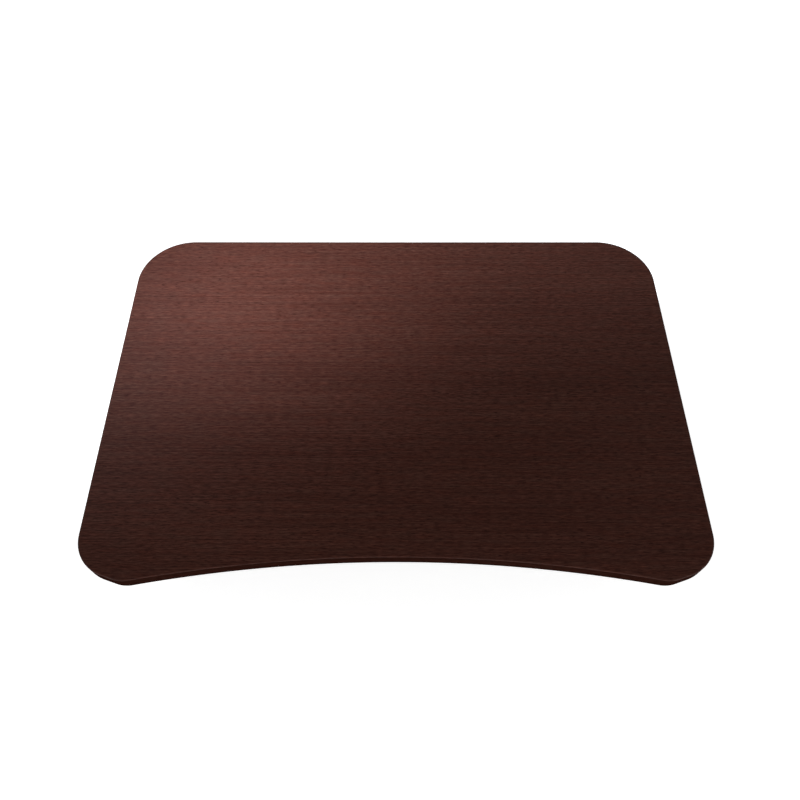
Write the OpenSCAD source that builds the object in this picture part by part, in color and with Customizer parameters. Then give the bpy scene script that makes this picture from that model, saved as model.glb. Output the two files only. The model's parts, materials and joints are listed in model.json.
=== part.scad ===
// Standing desk converter: a wooden top with a wave-shaped front edge, carried on a flat scissor lift.
// The lift is drawn fully lowered. Front is -Y, left and right are as seen by the person using it.
// Origin: centre of the overall footprint, on the surface that the rubber feet stand on.

/* [Board] */
// Width of the board, side to side
board_w = 698.5; // [690:0.5:760]
// Depth of the board at its two front lobes
board_d = 482.6; // [476:0.2:520]
// Thickness of the board
board_t = 19; // [16:0.5:25]
// Depth of the recess in the middle of the front edge
front_dip = 26.3; // [20:0.1:27]
// Slope of the front edge where the recess turns into a lobe, in degrees
wave_slope = 10.3; // [10:0.1:11]
// Radius of the front lobes
lobe_r = 35; // [30:1:45]
// Slope of the short straight run outside each lobe, in degrees
slant = 18.7; // [15:0.1:22]
// Radius of the corners between the slant and the sides
side_r = 48; // [40:1:52]
// Radius of the two back corners
back_r = 70; // [50:1:75]
// Thickness of the wood-look wrap on top and edge
wrap_t = 0.6; // [0.4:0.1:1.0]

/* [Lift] */
// Distance between the two end pivots of an arm
arm_l = 390; // [380:1:394]
// Height of the lower pivots above the floor
low_z = 20; // [20:0.5:22]
// Height of the upper pivots above the floor, lift lowered
high_z = 84; // [82:0.5:86]
// Height of an arm's flat bar
arm_h = 20; // [16:1:20]
// Radius of the two axles and of the centre shaft
axle_r = 5; // [4:0.5:5]
// Outer radius of the four track rollers
roller_r = 8.7; // [8.2:0.1:8.7]

/* [Rails] */
// Half width of the base, to the outer faces of its rails
base_half_w = 296; // [292:1:300]
// Thickness of the rails' flanges
flange_t = 3; // [2.8:0.1:3]
// Thickness of the rails' webs
web_t = 2.5; // [2:0.1:3]
// Thickness of the base plates
plate_t = 3; // [2.5:0.5:3]

/* [Release] */
// Width of each handle paddle
paddle_w = 38; // [30:1:40]
// Length of each handle paddle, front to back
paddle_l = 84; // [70:1:90]
// Radius of the release shaft
shaft_r = 4; // [3:0.5:4]

/* [Springs] */
// Radius of the lift springs' wire
wire_r = 2; // [1.6:0.1:2]
// Middle radius of the lift springs' coils
coil_r = 9; // [8.6:0.1:9]
// Length of each lift spring's coil
coil_l = 44; // [36:1:44]

/* [Hidden] */
$fn = 64;
eps = 0.01;
eye_step = 0.4;

// Board heights
rail_half_h = 12;
board_z = high_z + rail_half_h;
backer_t = 0.6;
core_z = board_z + backer_t;
core_t = board_t - backer_t - wrap_t;

// Board outline: the front recess is an arc that meets each lobe on a common tangent
wave_sum = front_dip / (1 - cos(wave_slope));
recess_r = wave_sum - lobe_r;
lobe_x = wave_sum * sin(wave_slope);
lobe_y = -board_d / 2 + lobe_r;
side_x = board_w / 2 - side_r;
side_y = (side_x * sin(slant) - (lobe_x * sin(slant) - lobe_y * cos(slant) + lobe_r - side_r)) / cos(slant);
back_x = board_w / 2 - back_r;
back_y = board_d / 2 - back_r;
arc_steps = 16;

// Lift: rear ends are pivots, front ends carry the rollers
rise = high_z - low_z;
rest_angle = asin(rise / arm_l);
arm_reach = arm_l * cos(rest_angle);
rear_y = 219;
front_y = rear_y - arm_reach;
mid_y = (rear_y + front_y) / 2;
mid_z = (low_z + high_z) / 2;
crossbar_r = 6;
crossbar_at = 85;
crossbar_y = rear_y - crossbar_at * cos(rest_angle);
crossbar_z = low_z + crossbar_at * sin(rest_angle);

// Stack of planes from the middle out, on the right side
crank_x = 216.5;
link_x = 222;
lever_x = 229;
lock_x = 236;
inner_x = 248;
outer_x = 260;
arm_t = 8;
rail_x = base_half_w - 24;
web_x = base_half_w - web_t;
roller_x = rail_x + 2.5;
roller_w = 16;
axle_end = roller_x + roller_w + 1.5;
track_half_h = rail_half_h - flange_t;

// Rails and plates
rail_front = -184;
rail_rear = 233;
cap_t = 2;
plate_z = low_z - rail_half_h - plate_t;
plate_w = 44;
foot_r = 14;
foot_x = base_half_w - 15;
foot_front_y = rail_front + foot_r;
foot_rear_y = rail_rear - foot_r;

// Release linkage
shaft_y = -198;
shaft_z = 74;
crank_l = 12;
link_z = shaft_z - crank_l;
clamp_y = 58;
clamp_z = 80;
shoe_y = 15;
lock_bottom = 74;
lock_top = 91;
lock_t = 4;
lock_rear = shoe_y + 6;
lock_front = -187;
pin_r = 2.5;
bracket_t = 2;
brackets_x = [-262, 0, 262];
paddle_x = board_w / 2 - 11 - paddle_w;

// Fits and screws
run_gap = 0.05;
link_gap = 0.15;
screw_r = 2.4;
head_r = 4.6;
head_h = 2.4;
insert_r = 4;
insert_h = 12;
rail_screw_y = [-130, -20, 95, 200];
brace_y = 95;
brace_w = 30;
brace_screw_x = [-240, -80, 80, 240];

// Springs: two on each side, turning about the base pivots' axis and lifting the outer crossbar
spring_x = [138, 189];
mandrel_r = 6;
ear_x = [112, 212];
ear_t = 3;
leg_x = coil_l / 2 - wire_r;
leg_end_y = crossbar_y - 10;
leg_end_z = crossbar_z - crossbar_r - wire_r - 0.4;

// ---------- shared shapes ----------

// Right half of the board outline, from the middle of the front to the middle of the back, pulled in by inset
function half_outline(inset) = concat(
    [for (i = [0:arc_steps]) let (a = wave_slope * i / arc_steps)
        [(recess_r + inset) * sin(a), -board_d / 2 + front_dip - recess_r + (recess_r + inset) * cos(a)]],
    [for (i = [1:arc_steps]) let (a = -wave_slope + (slant + wave_slope) * i / arc_steps)
        [lobe_x + (lobe_r - inset) * sin(a), lobe_y - (lobe_r - inset) * cos(a)]],
    [for (i = [0:arc_steps]) let (a = slant + (90 - slant) * i / arc_steps)
        [side_x + (side_r - inset) * sin(a), side_y - (side_r - inset) * cos(a)]],
    [for (i = [0:arc_steps]) let (a = 90 * i / arc_steps)
        [back_x + (back_r - inset) * cos(a), back_y + (back_r - inset) * sin(a)]]
);

// The left half is the right half mirrored, without the point on the centre line
function outline(inset) = let (right = half_outline(inset), last = len(right) - 1)
    concat(right, [for (i = [last:-1:1]) [-right[i][0], right[i][1]]]);

// A cylinder along X
module x_rod(x0, x1, y, z, r) {
    translate([x0, y, z]) rotate([0, 90, 0]) cylinder(h = x1 - x0, r = r);
}

// A plane (y, z) shape given as children, extruded along X
module x_plate(x0, x1) {
    translate([x0, 0, 0]) rotate([90, 0, 90]) linear_extrude(height = x1 - x0) children();
}

// A flat bar between the points a and b, both (y, z), with a round eye of radius r at each end
module x_bar(x0, x1, a, b, r) {
    run = norm(b - a);
    half = r - eye_step;
    x_rod(x0, x1, a[0], a[1], r);
    x_rod(x0, x1, b[0], b[1], r);
    translate([x0, a[0], a[1]]) rotate([atan2(b[1] - a[1], b[0] - a[0]), 0, 0])
        translate([0, 0, -half]) cube([x1 - x0, run, 2 * half]);
}

// Drawn on the right as is, on the left mirrored
module on_side(side) {
    if (side > 0) children();
    else mirror([1, 0, 0]) children();
}

module both_sides() {
    children();
    mirror([1, 0, 0]) children();
}

// A countersunk screw pointing up from z, with its head at the bottom
module screw_up(x, y, z, length) {
    translate([x, y, z]) {
        cylinder(h = head_h, r1 = head_r, r2 = screw_r);
        cylinder(h = length, r = screw_r);
    }
}

// The hole that screw_up sits in, a little larger all round
module screw_hole(x, y, z, length) {
    translate([x, y, z - eps]) {
        cylinder(h = head_h + eps, r1 = head_r + 0.1, r2 = screw_r + 0.1);
        cylinder(h = length + 2 * eps, r = screw_r + 0.1);
    }
}

// C-section rail around the height z, open towards the middle of the object
module rail_profile(z) {
    difference() {
        translate([rail_x, rail_front, z - rail_half_h])
            cube([base_half_w - rail_x, rail_rear - rail_front, 2 * rail_half_h]);
        translate([rail_x - 1, rail_front - 1, z - track_half_h])
            cube([web_x - rail_x + 1, rail_rear - rail_front + 2, 2 * track_half_h]);
        x_rod(web_x - 1, base_half_w + 1, rear_y, z, axle_r + run_gap);
    }
}

// Plastic plugs for both ends of a rail; the front one is also the roller's stop
module end_caps(z) {
    plug_h = 2 * track_half_h - 0.4;
    stop_y = front_y - roller_r - 0.3;
    both_sides() {
        translate([rail_x, rail_front - cap_t, z - rail_half_h])
            cube([base_half_w - rail_x, cap_t, 2 * rail_half_h]);
        translate([rail_x + 0.5, rail_front - eps, z - plug_h / 2])
            cube([web_x - rail_x - 0.7, stop_y - rail_front, plug_h]);
        translate([rail_x, rail_rear, z - rail_half_h])
            cube([base_half_w - rail_x, cap_t, 2 * rail_half_h]);
        translate([rail_x + 0.5, rail_rear - 4, z - plug_h / 2])
            cube([web_x - rail_x - 0.7, 4 + eps, plug_h]);
    }
}

// Shoulder bolt through a rail's web, with its hexagon head outside and a nut inside the arm
module pivot_bolt(z, arm_x) {
    x_rod(arm_x - 6, base_half_w + eps, rear_y, z, axle_r);
    translate([base_half_w, rear_y, z]) rotate([0, 90, 0]) cylinder(h = 5, r = 8.5, $fn = 6);
    translate([arm_x - 6, rear_y, z]) rotate([0, 90, 0]) cylinder(h = 5.6, r = 8.5, $fn = 6);
}

// Sleeve that fills the bolt between the rail's web and the arm
module pivot_spacer(z, arm_x) {
    difference() {
        x_rod(arm_x + arm_t + 0.3, web_x - 0.05, rear_y, z, 8);
        x_rod(arm_x, web_x + 1, rear_y, z, axle_r + 0.1);
    }
}

// Flat-bar arm with a bore at each end and one in the middle
module arm(x, rear_z, front_z, rear_bore, front_bore, mid_bore) {
    difference() {
        x_bar(x, x + arm_t, [front_y, front_z], [rear_y, rear_z], arm_h / 2);
        x_rod(x - 1, x + arm_t + 1, rear_y, rear_z, rear_bore);
        x_rod(x - 1, x + arm_t + 1, front_y, front_z, front_bore);
        x_rod(x - 1, x + arm_t + 1, mid_y, mid_z, mid_bore);
    }
}

module roller(z) {
    difference() {
        union() {
            x_rod(roller_x, roller_x + roller_w, front_y, z, roller_r);
            x_rod(roller_x - 1, roller_x + roller_w + 0.5, front_y, z, axle_r + 2);
        }
        x_rod(roller_x - 2, roller_x + roller_w + 2, front_y, z, axle_r + run_gap);
    }
}

module axle_clip(z) {
    difference() {
        x_rod(axle_end - 0.8, axle_end - 0.1, front_y, z, axle_r + 2.2);
        x_rod(axle_end - 1, axle_end, front_y, z, axle_r);
    }
}

// ---------- desktop ----------

module wood_wrap() {
    color("#4a2a24") translate([0, 0, board_z]) difference() {
        linear_extrude(height = board_t) polygon(outline(0));
        translate([0, 0, -1]) linear_extrude(height = board_t - wrap_t + 1) polygon(outline(wrap_t));
    }
}

module board_core() {
    color("#a98a63") difference() {
        translate([0, 0, core_z]) linear_extrude(height = core_t) polygon(outline(wrap_t));
        for (p = insert_places) translate([p[0], p[1], core_z - 1]) cylinder(h = insert_h + 1.5, r = insert_r);
    }
}

module underside_backer() {
    color("#2b2523") difference() {
        translate([0, 0, board_z]) linear_extrude(height = backer_t) polygon(outline(wrap_t));
        for (p = insert_places) translate([p[0], p[1], board_z - 1]) cylinder(h = 3, r = insert_r);
    }
}

bracket_screw_y = shaft_y + 18;
clamp_screw_x = 213;
clamp_screw_y = [clamp_y - 8, clamp_y + 8];
insert_places = concat(
    [for (s = [-1, 1], y = rail_screw_y) [s * (rail_x + 11), y]],
    [for (x = brace_screw_x) [x, brace_y + brace_w / 2]],
    [for (x = brackets_x) [x, bracket_screw_y]],
    [for (s = [-1, 1], y = clamp_screw_y) [s * clamp_screw_x, y]]
);

module board_inserts() {
    color("#b8974a") for (p = insert_places) translate([p[0], p[1], board_z + 0.2]) difference() {
        cylinder(h = insert_h - 0.5, r = insert_r);
        translate([0, 0, -1]) cylinder(h = insert_h + 2, r = screw_r);
    }
}

module top_rail(side) {
    color("#1d1d1f") on_side(side) difference() {
        rail_profile(high_z);
        for (y = rail_screw_y) screw_hole(rail_x + 11, y, board_z - flange_t, flange_t);
    }
}

module top_end_caps() { color("#111112") end_caps(high_z); }

module top_rail_screws() {
    color("#8b8d90") both_sides() for (y = rail_screw_y)
        screw_up(rail_x + 11, y, board_z - flange_t, flange_t + 9);
}

module board_brace() {
    color("#1d1d1f") difference() {
        translate([-rail_x, brace_y, board_z - flange_t]) cube([2 * rail_x, brace_w, flange_t]);
        for (x = brace_screw_x) screw_hole(x, brace_y + brace_w / 2, board_z - flange_t, flange_t);
    }
}

module brace_screws() {
    color("#8b8d90") for (x = brace_screw_x)
        screw_up(x, brace_y + brace_w / 2, board_z - flange_t, flange_t + 9);
}

module top_pivot_bolts() { color("#8b8d90") both_sides() pivot_bolt(high_z, inner_x); }

module top_pivot_spacers() { color("#a4a6a8") both_sides() pivot_spacer(high_z, inner_x); }

// Bearing ear for the release shaft, with a screwed foot behind it
module shaft_bracket(x) {
    difference() {
        union() {
            x_bar(x - 3, x + 3, [shaft_y, shaft_z], [shaft_y, board_z - 8], 8);
            translate([x - 3, shaft_y - 8, board_z - 8]) cube([6, 16, 8]);
            translate([x - 9, shaft_y + 7, board_z - 3]) cube([18, 19, 3]);
        }
        x_rod(x - 4, x + 4, shaft_y, shaft_z, shaft_r + run_gap);
        screw_hole(x, bracket_screw_y, board_z - 3, 3);
    }
}

module shaft_brackets() { color("#1d1d1f") for (x = brackets_x) shaft_bracket(x); }

// Plate that carries a clamp lever's pin, with a screwed flange on its inner side
module clamp_brackets() {
    plate_x = lever_x - 0.2 - bracket_t;
    color("#1d1d1f") both_sides() difference() {
        union() {
            x_bar(plate_x, plate_x + bracket_t, [clamp_y, clamp_z], [clamp_y, board_z - 8], 8);
            translate([plate_x, clamp_y - 14, board_z - 8]) cube([bracket_t, 28, 8]);
            translate([clamp_screw_x - 7, clamp_y - 14, board_z - 2.6]) cube([plate_x + 1 - clamp_screw_x + 7, 28, 2.6]);
        }
        x_rod(plate_x - 1, plate_x + 3, clamp_y, clamp_z, 4);
        for (y = clamp_screw_y) screw_hole(clamp_screw_x, y, board_z - 2.6, 3);
    }
}

module bracket_screws() {
    color("#8b8d90") {
        for (x = brackets_x) screw_up(x, bracket_screw_y, board_z - 3, 12);
        both_sides() for (y = clamp_screw_y) screw_up(clamp_screw_x, y, board_z - 2.6, 11.6);
    }
}

module clamp_pins() {
    color("#a4a6a8") both_sides() {
        x_rod(lever_x - 0.2 - bracket_t, lever_x + 4.4, clamp_y, clamp_z, 4);
        x_rod(lever_x + 4.3, lever_x + 6, clamp_y, clamp_z, 6);
    }
}

module backing_pads() {
    color("#d9d6cf") both_sides()
        translate([lock_x - 1, shoe_y - 8, lock_top + 0.3]) cube([lock_t + 2, 16, board_z - lock_top - 0.3]);
}

// Envelope of the two torsion springs beside the outer bearing ears
module return_springs() {
    color("#a4a6a8") both_sides() difference() {
        x_rod(268, 281, shaft_y, shaft_z, shaft_r + 2.4);
        x_rod(267, 282, shaft_y, shaft_z, shaft_r + 0.5);
    }
}

// ---------- base ----------

module base_rail(side) {
    color("#1d1d1f") on_side(side) difference() {
        rail_profile(low_z);
        for (p = base_screw_places) translate([p[0], p[1], low_z - rail_half_h - 1]) cylinder(h = 6, r = screw_r);
    }
}

base_screw_places = [
    [foot_x, foot_front_y],
    [foot_x, rail_front + plate_w - 10],
    [foot_x, foot_rear_y],
    [foot_x, rail_rear - plate_w + 8]
];

module base_end_caps() { color("#111112") end_caps(low_z); }

module base_plate(y) {
    color("#1d1d1f") difference() {
        translate([-base_half_w, y, plate_z]) cube([2 * base_half_w, plate_w, plate_t]);
        both_sides() for (p = base_screw_places) screw_hole(p[0], p[1], plate_z, plate_t);
    }
}

module base_plate_front() { base_plate(rail_front); }

module base_plate_rear() { base_plate(rail_rear + cap_t - plate_w); }

module rubber_feet() {
    color("#161616") both_sides() for (y = [foot_front_y, foot_rear_y]) translate([foot_x, y, 0]) {
        cylinder(h = plate_z - 2, r1 = foot_r - 1, r2 = foot_r);
        translate([0, 0, plate_z - 2]) cylinder(h = 2 - eps, r = foot_r);
    }
}

module base_screws() {
    color("#8b8d90") both_sides() for (p = base_screw_places)
        screw_up(p[0], p[1], plate_z, plate_t + flange_t - 0.3);
}

module base_pivot_bolts() { color("#8b8d90") both_sides() pivot_bolt(low_z, outer_x); }

module base_pivot_spacers() { color("#a4a6a8") both_sides() pivot_spacer(low_z, outer_x); }

// Upright ears on the rear plate that hold the spring shaft, with a foot in front of each
module spring_brackets() {
    color("#1d1d1f") both_sides() for (x = ear_x) difference() {
        union() {
            x_bar(x, x + ear_t, [rear_y, low_z], [rear_y, low_z - 2], 11);
            translate([x, rear_y - 11, plate_z + plate_t]) cube([ear_t, 22, 4]);
            translate([x == ear_x[0] ? x - 8 : x, rear_y - 22, plate_z + plate_t]) cube([ear_t + 8, 14, 2.5]);
        }
        x_rod(x - 1, x + ear_t + 1, rear_y, low_z, mandrel_r + run_gap);
        translate([x - 5, rear_y - 12, plate_z + plate_t - 12]) cube([ear_t + 10, 24, 12]);
    }
}

module spring_shaft() {
    end = ear_x[1] + ear_t + 6;
    color("#a4a6a8") x_rod(-end, end, rear_y, low_z, mandrel_r);
}

// Set collars at both ends of the spring shaft
module spring_collars() {
    color("#8b8d90") both_sides() difference() {
        x_rod(ear_x[1] + ear_t + 0.1, ear_x[1] + ear_t + 5.5, rear_y, low_z, 10);
        x_rod(ear_x[1], ear_x[1] + ear_t + 7, rear_y, low_z, mandrel_r);
    }
}

// Envelope of the four torsion springs: one leg bears on the rear plate, the other lifts the crossbar
module lift_springs() {
    leg = [leg_end_y - rear_y, leg_end_z - low_z - coil_r];
    color("#6f7173") both_sides() for (x = spring_x) {
        difference() {
            x_rod(x - coil_l / 2, x + coil_l / 2, rear_y, low_z, coil_r + wire_r);
            x_rod(x - coil_l, x + coil_l, rear_y, low_z, coil_r - wire_r);
        }
        translate([x - leg_x, rear_y, low_z - coil_r]) rotate([90, 0, 0]) cylinder(h = 26, r = wire_r);
        translate([x + leg_x, rear_y, low_z + coil_r]) rotate([atan2(-leg[0], leg[1]), 0, 0])
            cylinder(h = norm(leg), r = wire_r);
    }
}

// ---------- scissor arms ----------

module outer_arm(side) {
    color("#1d1d1f") on_side(side) arm(outer_x, low_z, high_z, axle_r + run_gap, axle_r, axle_r);
}

module outer_crossbar() { color("#1d1d1f") x_rod(-outer_x, outer_x, crossbar_y, crossbar_z, crossbar_r); }

module upper_axle() { color("#a4a6a8") x_rod(-axle_end, axle_end, front_y, high_z, axle_r); }

module upper_axle_clips() { color("#8b8d90") both_sides() axle_clip(high_z); }

module centre_shaft() {
    end = outer_x + arm_t + 5.5;
    color("#a4a6a8") x_rod(-end, end, mid_y, mid_z, axle_r);
}

module centre_nuts() {
    color("#8b8d90") both_sides() difference() {
        translate([outer_x + arm_t, mid_y, mid_z]) rotate([0, 90, 0]) cylinder(h = 5, r = 8.5, $fn = 6);
        x_rod(outer_x, outer_x + arm_t + 6, mid_y, mid_z, axle_r);
    }
}

module centre_washers() {
    gap_x = inner_x + arm_t;
    color("#d9d6cf") both_sides() difference() {
        x_rod(gap_x + 0.2, outer_x, mid_y, mid_z, 9);
        x_rod(gap_x - 1, outer_x + 1, mid_y, mid_z, axle_r);
    }
}

module inner_arm(side) {
    color("#1d1d1f") on_side(side) arm(inner_x, high_z, low_z, axle_r + run_gap, axle_r, axle_r + 1.5);
}

module inner_crossbar() {
    color("#1d1d1f") x_rod(-inner_x, inner_x, crossbar_y, low_z + high_z - crossbar_z, crossbar_r);
}

module lower_axle() { color("#a4a6a8") x_rod(-axle_end, axle_end, front_y, low_z, axle_r); }

module lower_axle_clips() { color("#8b8d90") both_sides() axle_clip(low_z); }

// Bronze bushes pressed into the inner arms, turning on the centre shaft
module centre_bushes() {
    color("#a5793a") both_sides() difference() {
        x_rod(inner_x, inner_x + arm_t, mid_y, mid_z, axle_r + 1.5);
        x_rod(inner_x - 1, inner_x + arm_t + 1, mid_y, mid_z, axle_r + run_gap);
    }
}

module upper_roller(side) { color("#e4e2dc") on_side(side) roller(high_z); }

module lower_roller(side) { color("#e4e2dc") on_side(side) roller(low_z); }

// ---------- lock ----------

// Smooth flat bar that hangs on the upper axle and slides above the clamp shoe
module lock_bar(side) {
    color("#8b8d90") on_side(side) difference() {
        translate([lock_x, lock_front, lock_bottom]) cube([lock_t, lock_rear - lock_front, lock_top - lock_bottom]);
        x_rod(lock_x - 1, lock_x + lock_t + 1, front_y, high_z, axle_r + run_gap);
    }
}

// ---------- release linkage ----------

module release_shaft() {
    end = paddle_x + paddle_w - 4;
    color("#a4a6a8") x_rod(-end, end, shaft_y, shaft_z, shaft_r);
}

module release_cranks() {
    color("#1d1d1f") both_sides() difference() {
        union() {
            x_bar(crank_x, crank_x + 5, [shaft_y, shaft_z], [shaft_y, link_z], 6.5);
            x_rod(crank_x, link_x + 5, shaft_y, link_z, pin_r);
        }
        x_rod(crank_x - 1, crank_x + 6, shaft_y, shaft_z, shaft_r);
    }
}

// Flat paddle behind a hub on the shaft, with a finger groove rounded into its rear end
module release_handle(side) {
    color("#141414") on_side(side) difference() {
        union() {
            x_rod(paddle_x, paddle_x + paddle_w, shaft_y, shaft_z, 7);
            translate([paddle_x, shaft_y, shaft_z - 3]) cube([paddle_w, paddle_l - 6, 6]);
            x_rod(paddle_x, paddle_x + paddle_w, shaft_y + paddle_l - 6, shaft_z - 1, 6);
        }
        x_rod(paddle_x - 1, paddle_x + paddle_w - 4, shaft_y, shaft_z, shaft_r);
    }
}

module link_rod(side) {
    color("#8b8d90") on_side(side) difference() {
        x_bar(link_x, link_x + 4, [shaft_y, link_z], [clamp_y, link_z], 3.8);
        x_rod(link_x - 1, link_x + 5, shaft_y, link_z, pin_r + link_gap);
        x_rod(link_x - 1, link_x + 5, clamp_y, link_z, pin_r + link_gap);
    }
}

// Lever that turns on the clamp pin: a down arm for the link rod and a forward arm with the shoe
module clamp_lever(side) {
    color("#2a2a2c") on_side(side) difference() {
        union() {
            x_bar(lever_x, lever_x + 4, [clamp_y, clamp_z], [clamp_y, link_z], 6);
            x_bar(lever_x, lever_x + 4, [clamp_y, clamp_z - 7], [shoe_y, lock_bottom - 4], 3.7);
            translate([lever_x, shoe_y - 6, lock_bottom - 6]) cube([lock_x + lock_t + 0.5 - lever_x, 12, 5.7]);
            x_rod(link_x - 1, lever_x + 1, clamp_y, link_z, pin_r);
        }
        x_rod(lever_x - 1, lever_x + 5, clamp_y, clamp_z, 4 + run_gap);
    }
}

wood_wrap();
board_core();
underside_backer();
board_inserts();
top_rail(-1);  // top_rail_left
top_rail(1);  // top_rail_right
top_end_caps();
top_rail_screws();
board_brace();
brace_screws();
top_pivot_bolts();
top_pivot_spacers();
shaft_brackets();
clamp_brackets();
bracket_screws();
clamp_pins();
backing_pads();
return_springs();
base_rail(-1);  // base_rail_left
base_rail(1);  // base_rail_right
base_end_caps();
base_plate_front();
base_plate_rear();
rubber_feet();
base_screws();
base_pivot_bolts();
base_pivot_spacers();
spring_brackets();
spring_shaft();
spring_collars();
lift_springs();
outer_arm(-1);  // outer_arm_left
outer_arm(1);  // outer_arm_right
outer_crossbar();
upper_axle();
upper_axle_clips();
centre_shaft();
centre_nuts();
centre_washers();
inner_arm(-1);  // inner_arm_left
inner_arm(1);  // inner_arm_right
inner_crossbar();
lower_axle();
lower_axle_clips();
centre_bushes();
upper_roller(-1);  // upper_roller_left
upper_roller(1);  // upper_roller_right
lower_roller(-1);  // lower_roller_left
lower_roller(1);  // lower_roller_right
lock_bar(-1);  // lock_bar_left
lock_bar(1);  // lock_bar_right
release_shaft();
release_cranks();
release_handle(-1);  // release_handle_left
release_handle(1);  // release_handle_right
link_rod(-1);  // link_rod_left
link_rod(1);  // link_rod_right
clamp_lever(-1);  // clamp_lever_left
clamp_lever(1);  // clamp_lever_right
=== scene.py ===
"""Standing desk converter: a dark wood-look board with a wave-shaped front edge on a flat scissor lift.

The lift is drawn lowered. The frame is the CAD model's: front is -Y, up is +Z, the floor is z = 0. Piece
geometry is written in millimetres and turned into metres when its mesh is made. Positions come from the
boxes of the CAD nodes.
"""
import json
import math

import bmesh
import bpy
import numpy as np
from mathutils.geometry import tessellate_polygon
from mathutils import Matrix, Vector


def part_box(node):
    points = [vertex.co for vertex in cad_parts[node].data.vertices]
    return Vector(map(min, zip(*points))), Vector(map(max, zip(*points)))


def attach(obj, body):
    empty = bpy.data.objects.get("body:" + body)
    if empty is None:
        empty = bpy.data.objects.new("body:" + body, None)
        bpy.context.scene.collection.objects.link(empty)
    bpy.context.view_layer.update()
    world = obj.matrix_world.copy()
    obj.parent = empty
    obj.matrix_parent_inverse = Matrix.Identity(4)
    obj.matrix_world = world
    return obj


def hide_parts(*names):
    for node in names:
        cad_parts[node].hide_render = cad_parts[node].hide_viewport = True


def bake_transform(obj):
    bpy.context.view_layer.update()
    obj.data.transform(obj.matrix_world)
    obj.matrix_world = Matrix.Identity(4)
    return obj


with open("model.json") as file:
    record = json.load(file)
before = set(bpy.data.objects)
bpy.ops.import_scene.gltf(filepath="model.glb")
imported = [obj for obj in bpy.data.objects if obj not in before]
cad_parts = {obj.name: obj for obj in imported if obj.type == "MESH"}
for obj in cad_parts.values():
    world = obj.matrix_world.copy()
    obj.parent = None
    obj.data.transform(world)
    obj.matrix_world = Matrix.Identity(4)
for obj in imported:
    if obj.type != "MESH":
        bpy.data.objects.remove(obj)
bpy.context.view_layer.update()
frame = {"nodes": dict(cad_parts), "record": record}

# ---------------------------------------------------------------- sizes, in millimetres

MM = 0.001


def low(node):
    """Lowest corner of a CAD node."""
    return np.array(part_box(node)[0]) / MM


def high(node):
    """Highest corner of a CAD node."""
    return np.array(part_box(node)[1]) / MM


def middle(node):
    """Centre of a CAD node's box."""
    return (low(node) + high(node)) / 2


# Board
FRONT_DIP = 26.3
WAVE_SLOPE = math.radians(10.3)
LOBE_R = 35.0
SLANT = math.radians(18.7)
SIDE_R = 48.0
BACK_R = 70.0
WRAP_T = 0.6
TOP_ARRIS = 1.9
LOW_ARRIS = 0.5
BOARD_Z = low("wood_wrap")[2]

# Lift: rear pivots, front rollers, middle joint and crossbars, all as (y, z)
REAR_Y = middle("base_pivot_bolts")[1]
FRONT_Y = middle("upper_axle")[1]
LOW_Z = middle("lower_axle")[2]
HIGH_Z = middle("upper_axle")[2]
MID_Y, MID_Z = middle("centre_shaft")[1:]
CROSS_Y, CROSS_Z = middle("outer_crossbar")[1:]
CROSS_R = (high("outer_crossbar") - low("outer_crossbar"))[2] / 2
AXLE_R = 5.0
RUNNING_FIT = 0.05
NUT_CORNER = 8.5
BUSH_T = 1.5
ARM_T = 8.0
ARM_HALF = 9.6
OUTER_X = low("outer_arm_right")[0]
INNER_X = low("inner_arm_right")[0]

# Rails
RAIL_X = low("base_rail_right")[0]
RAIL_END_X = high("base_rail_right")[0]
RAIL_FRONT = low("base_rail_right")[1]
RAIL_REAR = high("base_rail_right")[1]
RAIL_HALF = 12.0
WEB_T = 2.5
FLANGE_T = 3.0
PLATE_Z = low("base_plate_front")[2]
PLATE_TOP = high("base_plate_front")[2]
FOOT_X = 281.0

# Release linkage
SHAFT_Y, SHAFT_Z = middle("release_shaft")[1:]
SHAFT_R = 4.0
CLAMP_PIN_R = 4.0
LINK_Z = middle("link_rod_right")[2]
CLAMP_Y, CLAMP_Z = middle("clamp_pins")[1:]
PIN_R = 2.5
CLAMP_FLANGE_T = 2.6

# Screws
SCREW_R = 2.4
HEAD_R = 4.6
HEAD_H = 2.4
SCREW_PLAY = 0.1
RAIL_SCREW_X = RAIL_X + 11.0
RAIL_SCREW_Y = (-130.0, -20.0, 95.0, 200.0)
BRACE_SCREW_X = (-240.0, -80.0, 80.0, 240.0)
BRACE_SCREW_Y = middle("board_brace")[1]
BRACKET_X = (-262.0, 0.0, 262.0)
BRACKET_SCREW_Y = SHAFT_Y + 18.0
CLAMP_SCREW_X = 213.0
CLAMP_SCREW_Y = (CLAMP_Y - 8.0, CLAMP_Y + 8.0)
BASE_SCREW_Y = {"front": (-170.0, -150.0), "rear": (219.0, 197.0)}

# Lift springs
SPRING_X = (138.0, 189.0)
COIL_R = 9.0
WIRE_R = 2.0
COIL_HALF = 20.0
COIL_TURNS = 9.5
SPRING_SHAFT_R = 6.0

# The camera: where it stands, how far it looks down, and its lens on a 36 mm sensor
CAMERA_AT = (0.0, -0.4772, 0.8822)
CAMERA_DOWN = math.radians(59.07)
CAMERA_LENS = 33.0
CAMERA_SHIFT = 0.005

SIDES = (("right", 1.0), ("left", -1.0))

# ---------------------------------------------------------------- outlines, as lists of (u, v)


def turns(count):
    """The angles of equal steps once round."""
    return [2 * math.pi * i / count for i in range(count)]


def circle(u, v, radius, count=48):
    """A circle as an outline."""
    return [(u + radius * math.cos(a), v + radius * math.sin(a)) for a in turns(count)]


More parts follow.
